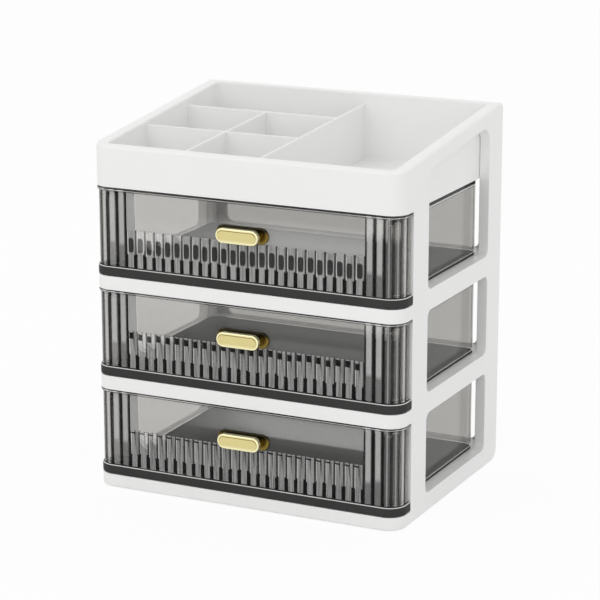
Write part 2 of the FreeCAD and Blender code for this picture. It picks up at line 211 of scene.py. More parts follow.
# %% A wire of a finish
class Wire:
    """One output socket of a finish. Sums and products of wires add Math nodes."""

    def __init__(self, socket):
        self.socket = socket

    def make(self, kind, output, settings=None, inputs=None):
        """Adds any node to the tree: its settings first, then the values or wires of its inputs."""
        tree = self.socket.id_data
        node = tree.nodes.new(kind)
        for name, value in (settings or {}).items():
            setattr(node, name, value)
        for name, value in (inputs or {}).items():
            if isinstance(value, Wire):
                tree.links.new(value.socket, node.inputs[name])
            else:
                node.inputs[name].default_value = value
        return Wire(node.outputs[output])

    def to(self, socket):
        self.socket.id_data.links.new(self.socket, socket)

    def noise(self, scale, detail=3.0):
        return self.make("ShaderNodeTexNoise", "Fac", None, {"Vector": self, "Scale": scale, "Detail": detail})

    def stretched(self, x, y, z):
        return self.make("ShaderNodeMapping", "Vector", None, {"Vector": self, "Scale": (x, y, z)})

    def between(self, low, high, start=0.0, end=1.0):
        """Takes low to start and high to end, and stays at those outside."""
        return self.make("ShaderNodeMapRange", "Result", None,
                         {"Value": self, "From Min": low, "From Max": high, "To Min": start, "To Max": end})

    def tint(self, first, second):
        """The first colour where the wire is 0, the second where it is 1."""
        return self.make("ShaderNodeMix", 2, {"data_type": "RGBA"}, {0: self, 6: first, 7: second})

    def bump(self, strength, distance):
        return self.make("ShaderNodeBump", "Normal", None,
                         {"Height": self, "Strength": strength, "Distance": distance})

    def axis(self, letter):
        """One coordinate of a place."""
        return self.make("ShaderNodeSeparateXYZ", letter, None, {"Vector": self})

    def math(self, operation, other=0.0):
        return self.make("ShaderNodeMath", 0, {"operation": operation}, {0: self, 1: other})

    def __add__(self, other):
        return self.math("ADD", other)

    def __sub__(self, other):
        return self.math("SUBTRACT", other)

    def __mul__(self, other):
        return self.math("MULTIPLY", other)

    def __rsub__(self, other):
        return self * -1.0 + other

    __radd__ = __add__
    __rmul__ = __mul__


def new_finish(name):
    """A material with its shader node and the wire of its Object coordinates."""
    material = bpy.data.materials.new(name)
    material.use_nodes = True
    nodes = material.node_tree.nodes
    coordinates = nodes.new("ShaderNodeTexCoord")
    return material, nodes["Principled BSDF"], Wire(coordinates.outputs["Object"])


# %% [markdown]
# ## White moulded plastic
# The cabinet is satin white. Real mouldings are never one even colour: there are faint clouds from the melt, a grain
# as fine as paper, and hair-thin scuffs where things have brushed past, which show in the gloss more than in the
# colour.

# %% White finish
def white_plastic():
    material, shader, place = new_finish("white_moulded_plastic")
    clouds = place.noise(22.0)
    grain = place.noise(2600.0, 2.0)
    scuffs = place.stretched(60.0, 420.0, 900.0).noise(1.0, 4.0).between(0.66, 0.74)
    clouds.tint((0.905, 0.905, 0.898, 1), (0.885, 0.885, 0.875, 1)).to(shader.inputs["Base Color"])
    (clouds * 0.10 + grain * 0.06 + scuffs * 0.10 + 0.30).to(shader.inputs["Roughness"])
    (grain + scuffs * -0.6).bump(0.12, 0.00003).to(shader.inputs["Normal"])
    return material


white = white_plastic()
print("finish:", white.name)

# %% [markdown]
# ## Steel and rubber
# The screws behind the pulls are zinc-plated steel, and the feet matte rubber.

# %% Finishes of the small parts
def zinc_steel():
    material, shader, place = new_finish("zinc_plated_steel")
    grain = place.noise(1500.0)
    shader.inputs["Metallic"].default_value = 1.0
    grain.tint((0.62, 0.62, 0.64, 1), (0.50, 0.50, 0.51, 1)).to(shader.inputs["Base Color"])
    (grain * 0.2 + 0.25).to(shader.inputs["Roughness"])
    grain.bump(0.1, 0.00003).to(shader.inputs["Normal"])
    return material


def foot_rubber():
    material, shader, place = new_finish("grey_foot_rubber")
    grain = place.noise(1200.0, 5.0)
    grain.tint((0.28, 0.28, 0.28, 1), (0.36, 0.36, 0.355, 1)).to(shader.inputs["Base Color"])
    (grain * 0.15 + 0.72).to(shader.inputs["Roughness"])
    grain.bump(0.4, 0.0001).to(shader.inputs["Normal"])
    return material


steel = zinc_steel()
rubber = foot_rubber()
print("finishes:", steel.name, rubber.name)

# %% [markdown]
# ## The cabinet's outside
# The white mouldings meet flush, and on the real organizer their joints can hardly be seen. So the whole outside is
# modelled once, as a single rounded block with a sloping top, and every white piece is sliced out of a copy of it.
# Faces that belong together then lie in one plane, and the rounding runs on from piece to piece.

# %% One block for the outside
side_low, side_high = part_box("right_side_frame")
tray_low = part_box("top_tray")[0]
base_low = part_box("base_deck")[0].z
half_width = side_high.x
front = tray_low.y
rear = side_high.y
post_front = side_low.y
corner_radius = 0.014
front_rim = 0.2747
rim_rise = 0.0215
rear_bottom_radius = 0.010
rear_top_radius = 0.005
edge_radius = 0.0022
REACH = 0.03
LEFT, DOWN, UP = (-1, 0, 0), (0, 0, -1), (0, 0, 1)
NEARER, FARTHER = (0, -1, 0), (0, 1, 0)


def rim_height(y):
    return front_rim + rim_rise * (y - front) / (rear - front)


rim_normal = Vector((0, -rim_rise, rear - front)).normalized()


def below_rim(piece, drop):
    """Slices off all that lies above the rim's slope, lowered by drop."""
    return slice_off(piece, (0, front, front_rim - drop), rim_normal)


def front_corners(edge, half, near):
    return lies_at(edge, x=half, y=near) or lies_at(edge, x=-half, y=near)


outside = block("outside", (-half_width, front, base_low), (half_width, rear, rim_height(rear) + REACH))
round_edges(outside, corner_radius, 16, lambda edge: front_corners(edge, half_width, front))
below_rim(outside, 0)
round_edges(outside, rear_bottom_radius, 8, lambda edge: lies_at(edge, y=rear, z=base_low))
rear_angle = math.pi / 2 - math.atan(rim_rise / (rear - front))
round_edges(outside, rear_top_radius / math.tan(rear_angle / 2), 8,
            lambda edge: lies_at(edge, y=rear, z=rim_height(rear)))
round_edges(outside, edge_radius, 5, is_sharp)
print(f"outside: {len(outside.data.polygons)} faces")

# %% [markdown]
# ## Side frames
# Each side is a plate with three windows. A window could be built from strips, but cutting it with a rounded block by
# a Boolean modifier is what one does by hand, and its corners stay true. The uppermost window follows the slope of
# the rim. The left frame is the right one mirrored.

# %% Right side frame and its windows
side_thickness = 0.0085
side_inner = half_width - side_thickness
lip_thickness = 0.005
front_post_width = 0.029
rear_post_width = 0.028
window_front = post_front + front_post_width
window_rear = rear - rear_post_width
window_radius = 0.006
slope_window_radius = 0.015
window_head = 0.001
rim_strip = 0.0115
window_softness = 0.0007

shelf_names = ("base_deck", "lower_shelf", "upper_shelf")
drawer_names = ("bottom_drawer", "middle_drawer", "top_drawer")
shelf_boxes = [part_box(name) for name in shelf_names]
sills = [high.z for low, high in shelf_boxes]


def runs_along(edge, axis):
    """True for the long edges of a cutting block along one axis."""
    first, second = (v.co["xyz".index(axis)] for v in edge.verts)
    return abs(first - second) > REACH


def window_tool(level):
    """The block that cuts one side window."""
    top = rim_height(rear) if level == 2 else shelf_boxes[level + 1][0].z - window_head
    tool = block("window", (side_inner - REACH, window_front, sills[level]),
                 (half_width + REACH, window_rear, top))
    if level == 2:
        below_rim(tool, rim_strip)
        round_edges(tool, slope_window_radius, 10,
                    lambda edge: lies_at(edge, y=window_rear, z=rim_height(window_rear) - rim_strip))
    return round_edges(tool, window_radius, 8, lambda edge: runs_along(edge, "x") and is_sharp(edge))


def in_windows(edge):
    """True for the outer edges of the windows."""
    inside = all(window_front - NEAR < v.co.y < window_rear + NEAR and v.co.z > sills[0] - NEAR for v in edge.verts)
    on_face = lies_at(edge, x=half_width) or lies_at(edge, x=side_inner)
    return inside and on_face and is_sharp(edge)


right_frame = copy_of(outside, "right_side")
slice_off(right_frame, (side_inner, 0, 0), LEFT)
slice_off(right_frame, (0, post_front, 0), NEARER)
below_rim(right_frame, lip_thickness)
for level in range(3):
    combine(right_frame, window_tool(level), "DIFFERENCE")
round_edges(right_frame, window_softness, 3, in_windows)

# %% Guide pads, and the left frame as a mirror image
run_gap = 0.0004
pad_margin = 0.0022
pad_height = 0.030
pad_lift = 0.0024
pad_round = 0.0006
box_half_width = 0.1193
OVERLAP = 0.001
pads = []
for level in range(3):
    pad_low = sills[level] + pad_lift
    pads.append(block("pad", (box_half_width + run_gap, post_front + pad_margin, pad_low),
                      (side_inner + OVERLAP, window_front - pad_margin, pad_low + pad_height)))
    round_edges(pads[-1], pad_round, 2, lambda edge: lies_at(edge, x=box_half_width + run_gap))
right_frame = join("right_side", right_frame, *pads)
left_frame = mirror_of(right_frame, "left_side")
hand_over(right_frame, "cabinet", "cabinet_white", white, "right_side_frame")
hand_over(left_frame, "cabinet", "cabinet_white", white, "left_side_frame")

# %% [markdown]
# ## Deck and shelves
# A shelf has a front rail that wraps round both corners, a step behind it that the drawer front laps over, and a
# plate that the drawer slides on. The rail is a slice of the outside. It is moulded hollow, so its underside is inset
# by the wall thickness and pushed up, and the plate gets its skirts in the same way.

# %% Three shelves from one recipe
wall = 0.0022
sill_step = 0.0045
step_inset = 0.0048
step_round = 0.0006
plate_thickness = 0.0024
fit_gap = 0.0002
shelf_half = side_inner - fit_gap
shelf_rear = shelf_boxes[1][1].y


def hollow_out(piece, level_z, height):
    """Insets the underside of a piece by the wall thickness and pushes it up."""
    choose(piece, "FACE", lambda face: lies_at(face, z=level_z) and face.normal.z < -0.9)
    bpy.ops.mesh.inset(thickness=wall, use_even_offset=True)
    bpy.ops.mesh.extrude_region_move(TRANSFORM_OT_translate={"value": (0, 0, height)})
    return close(piece)


def shelf(level):
    low = shelf_boxes[level][0].z
    sill = sills[level]
    rail_top = sill - sill_step
    rail = copy_of(outside, "rail")
    slice_off(rail, (0, post_front, 0), FARTHER)
    slice_off(rail, (0, 0, rail_top), UP)
    if level:
        slice_off(rail, (0, 0, low), DOWN)
    hollow_out(rail, low, rail_top - low - wall)
    step = block("step", (step_inset - half_width, front + step_inset, rail_top - wall / 2),
                 (half_width - step_inset, post_front, sill))
    round_edges(step, corner_radius - step_inset, 12,
                lambda edge: front_corners(edge, half_width - step_inset, front + step_inset))
    round_edges(step, step_round, 3, lambda edge: lies_at(edge, z=sill) and edge.verts[0].co.y < post_front - NEAR)
    plate = block("plate", (-shelf_half, post_front, low), (shelf_half, shelf_rear, sill))
    hollow_out(plate, low, sill - plate_thickness - low)
    return join(shelf_names[level] + "_moulding", rail, step, plate)


for level, node in enumerate(shelf_names):
    hand_over(shelf(level), "cabinet", "cabinet_white", white, node)

# %% [markdown]
# ## Rear frame
# The back is open: a thin frame slides into grooves in the sides and squares the cabinet up. It is a plate with a
# rounded window behind each drawer, cut as the side windows are.

# %% Rear frame
rear_low, rear_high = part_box("rear_frame")
rear_stile = 0.008
rear_softness = 0.0005
rear_reach = side_inner - rear_stile
tray_bottom = tray_low.z
rear_frame = block("rear_plate", rear_low, rear_high)
for level in range(3):
    head = (tray_bottom if level == 2 else shelf_boxes[level + 1][0].z) - window_head
    tool = block("window", (-rear_reach, rear_low.y - REACH, sills[level]), (rear_reach, rear_high.y + REACH, head))
    round_edges(tool, window_radius, 8, lambda edge: runs_along(edge, "y"))
    combine(rear_frame, tool, "DIFFERENCE")
round_edges(rear_frame, rear_softness, 2,
            lambda edge: is_sharp(edge) and (lies_at(edge, y=rear_low.y) or lies_at(edge, y=rear_high.y)))
hand_over(rear_frame, "cabinet", "cabinet_white", white, "rear_frame")

# %% [markdown]
# ## Top tray
# The tray has a lip that caps the sides, a band above the top drawer, and a tub between the sides. Lip and band are
# what is left of the outside when the space under the lip is cut away, so they run on from the sides. The tub is
# welded on by a Boolean union, and only then does one rounded block hollow all three. Three hollow shells side by side
# would be quicker to make, but where their faces lie on each other they shade each other black. The hollow's lower
# edges are rounded, because a moulded floor turns into its walls in a small curve. The thin dividers are sliced to
# their own slope and let into walls and floor, with rounded tops that catch the light.

# %% Lip, band and tub
band_bottom = 0.2428
tray_wall = 0.0016
tray_floor = 0.002
rim_width = 0.008
tub_radius = 0.004
floor_curve = 0.0018
rim_inner_radius = 0.0016
tub_half = side_inner - fit_gap
tub_inner = tub_half - tray_wall
tub_front = front + rim_width
tub_rear = shelf_rear - tray_wall
tub_floor = tray_bottom + tray_floor


def tub_tool():
    """The block that hollows the tray."""
    tool = block("hollow", (-tub_inner, tub_front, tub_floor), (tub_inner, tub_rear, rim_height(rear) + REACH))
    upright = [(x, y) for x in (-tub_inner, tub_inner) for y in (tub_front, tub_rear)]
    round_edges(tool, tub_radius, 8, lambda edge: any(lies_at(edge, x=x, y=y) for x, y in upright))
    return round_edges(tool, floor_curve, 4, lambda edge: lies_at(edge, z=tub_floor))


tray = copy_of(outside, "tray_moulding")
slice_off(tray, (0, 0, band_bottom), DOWN)
under_lip = block("under_lip", (-half_width - REACH, post_front, band_bottom - REACH),
                  (half_width + REACH, rear + REACH, rim_height(rear) + REACH))
combine(tray, below_rim(under_lip, lip_thickness), "DIFFERENCE")
tub = block("tub", (-tub_half, tub_front - tray_wall, tray_bottom), (tub_half, shelf_rear, rim_height(rear)))
combine(tray, below_rim(tub, lip_thickness / 2), "UNION")
combine(tray, tub_tool(), "DIFFERENCE")


def on_inner_rim(edge):
    on_slope = all(abs(v.co.z - rim_height(v.co.y)) < NEAR for v in edge.verts)
    inside = all(abs(v.co.x) < tub_inner + NEAR and tub_front - NEAR < v.co.y < tub_rear + NEAR for v in edge.verts)
    return on_slope and inside and is_sharp(edge)


round_edges(tray, rim_inner_radius, 4, on_inner_rim)
print("tray shell:", len(tray.data.polygons), "faces")

# %% Dividers
divider_half = 0.0009
divider_rise = 0.011
divider_top_round = 0.0005
main_divider_x = 0.0128
minor_divider_x = -0.0498
near_divider_y = -0.0243
far_divider_y = 0.0455
SET_IN = 0.0008
divider_normal = Vector((0, -divider_rise, tub_rear - tub_front)).normalized()


def divider(low, high):
    """A thin wall from floor to slope, with its long top edges rounded."""
    piece = block("divider", (low[0], low[1], tub_floor - SET_IN), (high[0], high[1], rim_height(rear)))
    slice_off(piece, (0, tub_front, rim_height(tub_front)), divider_normal)
    length = max(high[0] - low[0], high[1] - low[1])
    return round_edges(piece, divider_top_round, 3, lambda edge: edge.calc_length() > length - NEAR and
                       min(v.co.z for v in edge.verts) > tub_floor)


dividers = [
    divider((main_divider_x - divider_half, tub_front - SET_IN), (main_divider_x + divider_half, tub_rear + SET_IN)),
    divider((minor_divider_x - divider_half, tub_front - SET_IN), (minor_divider_x + divider_half, far_divider_y)),
    divider((-tub_inner - SET_IN, near_divider_y - divider_half), (main_divider_x, near_divider_y + divider_half)),
    divider((-tub_inner - SET_IN, far_divider_y - divider_half), (main_divider_x, far_divider_y + divider_half)),
]
for piece in dividers:
    combine(tray, piece, "UNION")
hand_over(tray, "cabinet", "cabinet_white", white, "top_tray")
bpy.data.objects.remove(outside)

# %% [markdown]
# ## Measures of a drawer
# The three drawers are alike and sit one shelf apart, so each piece is modelled at the bottom and copied upwards. Two
# measures serve the finishes as well: how far a point stands out from the smooth front, measured round the corners
# too, and how high it lies above its own rail. As wires they let one finish tell a crest from a groove.

# %% Places, and the two measures as wires
front_inset = 0.0042
wing_gap = 0.0005
wing_end = post_front - wing_gap
drawer_rear_radius = 0.008
drawer_round = 0.0004
drawer_floor_thickness = 0.002
drawer_pitch = sills[1] - sills[0]
first_rail = sills[0] - sill_step
base_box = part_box("bottom_drawer_base")
shell_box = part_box("bottom_drawer_shell")
pull_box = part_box("bottom_drawer_pull")
band_low, band_high = base_box[0].z, base_box[1].z
band_proud = base_box[1].x - half_width
box_front = front + front_inset
box_rear = base_box[1].y
floor_low = sills[0] + run_gap / 2
floor_high = floor_low + drawer_floor_thickness
reed_inset = 0.0021
reed_crest = 0.0011
reed_top = 0.038
shoulder_width = 0.016
flat_reed_count = 25
corner_reed_count = 3
window_half = half_width - corner_radius - shoulder_width
reed_pitch = 2 * window_half / flat_reed_count
valley = front + reed_inset


def round_corner(place):
    """How far a point lies outwards and forwards of the nearer corner's centre, each 0 at least."""
    across = (place.axis("X").math("ABSOLUTE") - (half_width - corner_radius)).math("MAXIMUM", 0.0)
    ahead = (front + corner_radius - place.axis("Y")).math("MAXIMUM", 0.0)
    return across, ahead


def stand_out(place):
    """How far a point stands out from the smooth front, in metres, also round its corners."""
    across, ahead = round_corner(place)
    return (across * across + ahead * ahead).math("SQRT") - (corner_radius - reed_inset)


def height(place):
    """How high a point lies above the rail of its own drawer."""
    return (place.axis("Z") - first_rail).math("FLOORED_MODULO", drawer_pitch)


print(f"drawers: {drawer_pitch * 1000:.1f} mm apart, {(box_rear - box_front) * 1000:.1f} mm deep")

# %% [markdown]
# ## Drawer bases
# A base is a dark floor with a band round the front that is almost flush with the cabinet. The band is a rounded block
# with another taken out of it. Its outer edges are rounded, and a thin pale line is painted along the upper one as a
# highlight. The plastic is the drawers' smoke, tinted until it is nearly black.

# %% Dark finish
band_edge = 0.0009
highlight_edge_height = band_high - first_rail - band_edge


def dark_plastic():
    material, shader, place = new_finish("dark_smoke_plastic")
    clouds = place.noise(40.0)
    scuffs = place.stretched(900.0, 70.0, 500.0).noise(1.0, 4.0).between(0.64, 0.74)
    # A thin pale line painted along the band's upper rounded edge: a painted highlight, also a little rougher.
    on_edge = height(place).between(highlight_edge_height + 0.0003, highlight_edge_height + 0.0005)
    painted_edge_highlight = stand_out(place).between(0.0014, 0.0017) * on_edge
    plain = clouds.tint((0.042, 0.042, 0.041, 1), (0.056, 0.056, 0.055, 1))
    painted_edge_highlight.tint(plain, (0.76, 0.76, 0.75, 1)).to(shader.inputs["Base Color"])
    (clouds * 0.08 + scuffs * 0.15 + painted_edge_highlight * 0.2 + 0.06).to(shader.inputs["Roughness"])
    shader.inputs["IOR"].default_value = 1.08
    (place.noise(1800.0, 2.0) + scuffs * -0.5).bump(0.06, 0.00003).to(shader.inputs["Normal"])
    return material


dark = dark_plastic()
print("finish:", dark.name)


# %% One base, copied for each drawer
def front_block(name, inset, low, high, back, segments):
    """A block on the cabinet's plan, drawn in by inset at the front and sides, with rounded front corners."""
    half = half_width - inset
    near = front + inset
    piece = block(name, (-half, near, low), (half, back, high))
    return round_edges(piece, corner_radius - inset, segments, lambda edge: front_corners(edge, half, near))


def inside_tool():
    """The block that hollows what wraps round the front."""
    return front_block("inside", front_inset, band_low - REACH, sills[1], wing_end + REACH, 16)


def on_outer_edge(edge):
    outer = all(abs(v.co.x) > half_width - front_inset + NEAR or v.co.y < box_front - NEAR for v in edge.verts)
    return outer and is_sharp(edge) and (lies_at(edge, z=band_low) or lies_at(edge, z=band_high))


def rear_corners(edge, half, far):
    return lies_at(edge, x=half, y=far) or lies_at(edge, x=-half, y=far)


foot_band = front_block("foot_band", -band_proud, band_low, band_high, wing_end, 20)
combine(foot_band, inside_tool(), "DIFFERENCE")
round_edges(foot_band, band_edge, 4, on_outer_edge)
drawer_floor = block("drawer_floor", (-box_half_width, box_front - OVERLAP, floor_low),
                     (box_half_width, box_rear, floor_high))
round_edges(drawer_floor, drawer_rear_radius, 8, lambda edge: rear_corners(edge, box_half_width, box_rear))
round_edges(drawer_floor, drawer_round, 2, lambda edge: is_sharp(edge) and edge.verts[0].co.y > box_front)
base = join("base_pattern", foot_band, drawer_floor)
bases = [copy_of(base, name + "_dark_base", (0, 0, level * drawer_pitch)) for level, name in enumerate(drawer_names)]
bpy.data.objects.remove(base)
for name, piece in zip(drawer_names, bases):
    hand_over(piece, name, "smoke_base", dark, name + "_base")

# %% [markdown]
# ## Smoke-clear plastic
# The shells are polished clear plastic with a grey tint. As glass with a real wall thickness, they bend what is behind
# them just as the real ones do. The reeds need more. Each is a small lens that shows the dark drawer as bars and drops,
# with the pale room beside them. Tracing that light would take very many samples, so the finish paints these images on
# as painted shade: dark bars at the foot, a drop, a cap or a lintel further up, and dark grooves in between. Each reed
# draws a number by chance, and its marks wander with it, so no two are quite alike. What is pale there is a satin bloom
# that scatters the room's light, but its amount is painted light: more on the top drawer, and in thin lines that are
# painted highlights. A thin haze does the same on the windows, thickened into painted pale patches. Rims and wall tops
# are painted dark, as shade and as clear plastic looks where it turns sharply, with thin painted highlights along them.
# The back wall gets a darker tint, painted shade for the back seen through it.
# Lamp rays can't find their way through bent glass, so for shadow rays the finish is a plain tinted filter: that lets
# light into the drawers.

# %% Where a point lies on its reed
reed_foot = band_high - first_rail
top_rim_height = 0.002
top_rim_proud = 0.0001
box_wall_height = 0.0588
front_high = shell_box[1].z
rim_low = front_high - top_rim_height
rim_foot = rim_low - first_rail
box_wall_top = shell_box[0].z + box_wall_height
REEDS_APART = 41.0


def reed_grid(place):
    """Across a reed of the flat front from 0 to 1, a number drawn for each reed, and the drawer's level."""
    steps = (place.axis("X") + window_half) * (1 / reed_pitch)
    index = steps.math("FLOOR")
    level = ((place.axis("Z") - first_rail) * (1 / drawer_pitch)).math("FLOOR")
    lot = index.make("ShaderNodeTexWhiteNoise", "Value", {"noise_dimensions": "1D"},
                     {"W": index + level * REEDS_APART})
    return steps - index, lot, level


def stretch(wire, low, high, soft):
    """1 between two values of a wire and 0 outside them, with soft ends."""
    return wire.between(low - soft, low + soft) * wire.between(high + soft, high - soft)


print(f"reeds: {reed_pitch * 1000:.1f} mm wide, {(reed_top - reed_foot) * 1000:.1f} mm high")

# %% Marks on the short reeds
# Places on a reed are shares: across it or from its middle line, and up it from foot to top.
WANDER = 0.12
BAR_FROM_MIDDLE, BAR_TOP = (0.28, 0.31), (0.38, 0.36)
GROOVE_FROM_MIDDLE = (0.39, 0.42)
DROP_CENTRE, DROP_HALF_WIDTH, DROP_HALF_HEIGHT = 0.61, 1 / 3.5, 1 / 5.4
CAP_ACROSS, CAP_UP = (0.10, 0.62), (0.79, 0.96)
LINTEL_ACROSS, LINTEL_UP = (0.05, 0.66), (0.93, 0.97)
STREAK_ACROSS, STREAK_LEAN = 0.76, 0.2
FOOT_LINE = (0.035, 0.025)
GLINT_ACROSS, GLINT_TOP = (0.11, 0.22), (0.98, 0.92)
CROWN_HIGHLIGHT = (0.978, 0.986)


def short_reed_marks(place, rise):
    """How dark and how pale the reeds under the window are painted at each point: the dark marks are painted refraction
    and shade, the paleness partly painted highlights.
    """
    across, lot, level = reed_grid(place)
    top = level.between(1.4, 1.6)
    low = level.between(0.6, 0.4)
    middle = 1.0 - top - low
    shift = (lot - 0.5) * WANDER
    from_middle = (across + shift * (rise - 0.4) - 0.5).math("ABSOLUTE")
    # The dark marks are painted shade: the dark drawer as the reeds would bend it into view.
    bar = from_middle.between(*BAR_FROM_MIDDLE) * (rise + shift * 0.6).between(*BAR_TOP)
    groove = from_middle.between(*GROOVE_FROM_MIDDLE) * 0.85
    drop_across = (across - 0.5 + shift * 0.7) * (1 / DROP_HALF_WIDTH)
    drop_up = (rise - DROP_CENTRE + shift * 0.4) * (1 / DROP_HALF_HEIGHT)
    drop = (drop_across.math("POWER", 4.0) + drop_up.math("POWER", 4.0)).between(1.5, 0.8) * top
    cap = stretch(across, *CAP_ACROSS, 0.03) * stretch(rise + shift * 0.5, *CAP_UP, 0.008) * middle
    lintel = stretch(across, *LINTEL_ACROSS, 0.03) * stretch(rise, *LINTEL_UP, 0.006) * low
    from_streak = (across - STREAK_ACROSS + rise * STREAK_LEAN + shift).math("ABSOLUTE")
    streak = from_streak.between(0.10, 0.03) * rise.between(0.42, 0.85) * (1.0 - top)
    dark = bar
    for mark in (groove, drop * 0.92, cap, lintel, streak * 0.8, rise.between(*FOOT_LINE)):
        dark = dark.math("MAXIMUM", mark)
    glint = stretch(across, *GLINT_ACROSS, 0.02) * rise.between(*GLINT_TOP)
    threads = place.stretched(1100.0, 1100.0, 45.0).noise(1.0, 2.0).between(0.35, 0.65, -0.1, 0.1)
    # Paleness is painted light in part: the top drawer's reeds paler, the glint and the crown thin painted highlights.
    return dark, 0.30 + top * 0.06 + threads + glint * 0.30 + rise.between(*CROWN_HIGHLIGHT) * 0.12


print("short reeds: bars, grooves, drops, caps, lintels and streaks")

# %% Marks on the tall reeds
GROOVE_DEPTH = (0.00070, 0.00045)
CREST_FROM_MIDDLE, GLEAM_FROM_MIDDLE = (0.30, 0.22), (0.12, 0.06)
BRIGHT_FROM = (0.027, 0.031)
BRIGHT_WANDER = 0.004


def tall_reed_marks(place, up, out):
    """The same for the tall reeds at both sides of the window and round the corners."""
    across, lot, level = reed_grid(place)
    side, ahead = round_corner(place)
    turn = side.math("ARCTAN2", ahead) * (corner_reed_count / (math.pi / 2))
    on_corner = side.between(0.0, 0.0001)
    from_middle = ((turn - turn.math("FLOOR")) * on_corner + across * (1.0 - on_corner) - 0.5).math("ABSOLUTE")
    # Painted shade in the grooves and along the foot; painted light on the crests, the upper part and the gleams of the
    # corner reeds.
    groove = out.between(*GROOVE_DEPTH) * (1.0 - on_corner * 0.22)
    dark = groove.math("MAXIMUM", up.between(reed_foot + 0.0010, reed_foot + 0.0007))
    upper = (up + lot * BRIGHT_WANDER).between(*BRIGHT_FROM)
    crest = from_middle.between(*CREST_FROM_MIDDLE)
    flat = crest * (0.12 + upper * 0.30)
    turned = crest * 0.04 + from_middle.between(*GLEAM_FROM_MIDDLE) * 0.24
    return dark, 0.08 + flat * (1.0 - on_corner) + turned * on_corner


print("tall reeds: grooves, crests and gleams")

# %% Haze on the windows
HAZE_SIDE = (-0.05, 0.01)
LEFT_END = (0.0095, 0.0065)


def window_haze(place, up):
    """How much satin haze lies on the windows: a faint haze, and painted light that is fuller on the top drawer,
    thickens into pale patches on the right half and brightens a strip at the left end over the post's shade.
    """
    above = up - reed_top
    top = place.axis("Z").between(sills[2] - 0.001, sills[2])
    low = place.axis("Z").between(sills[1], sills[1] - 0.001)
    middle = 1.0 - top - low
    rising = above.between(0.004, 0.016)
    haze_and_level_light = 0.05 + rising * 0.07 + top * (0.13 - rising * 0.17)
    top_patch = top * above.between(0.021, 0.011) * 0.26
    low_patch = low * above.between(0.0105, 0.0125) * 0.25
    middle_patch = middle * above.between(0.010, 0.006) * 0.08
    patches = place.axis("X").between(*HAZE_SIDE) * (top_patch + low_patch + middle_patch)
    painted_left_light = (place.axis("X") + window_half).between(*LEFT_END)
    return (haze_and_level_light + patches).math("MAXIMUM", painted_left_light * 0.42)


print("haze: patches on the right half and a strip at the left end")

# %% Smoke finish
FRONT_TINT = (0.69, 0.68, 0.665, 1)
SIDE_TINT = (0.71, 0.705, 0.69, 1)
# The back wall's tint is darker: painted shade for the shaded back seen through the drawer.
BACK_SHADE_TINT = (0.48, 0.475, 0.46, 1)
# The colour of all painted dark marks: the reeds' painted refractions and the painted shade on rims and wall tops.
PAINTED_SHADE_TINT = (0.012, 0.012, 0.012, 1)
FILTER_TINT = (0.95, 0.95, 0.94, 1)
# Heights of the painted highlight lines and the painted shade on the rim and the wall tops.
RIM_HIGHLIGHT = (0.0007, 0.0014)
WALL_TOP_SHADE, WALL_HIGHLIGHT, WALL_SHADE_BAND = (0.0034, 0.0031), (0.0033, 0.0043), (0.0045, 0.0051)
SOFT = 0.0001


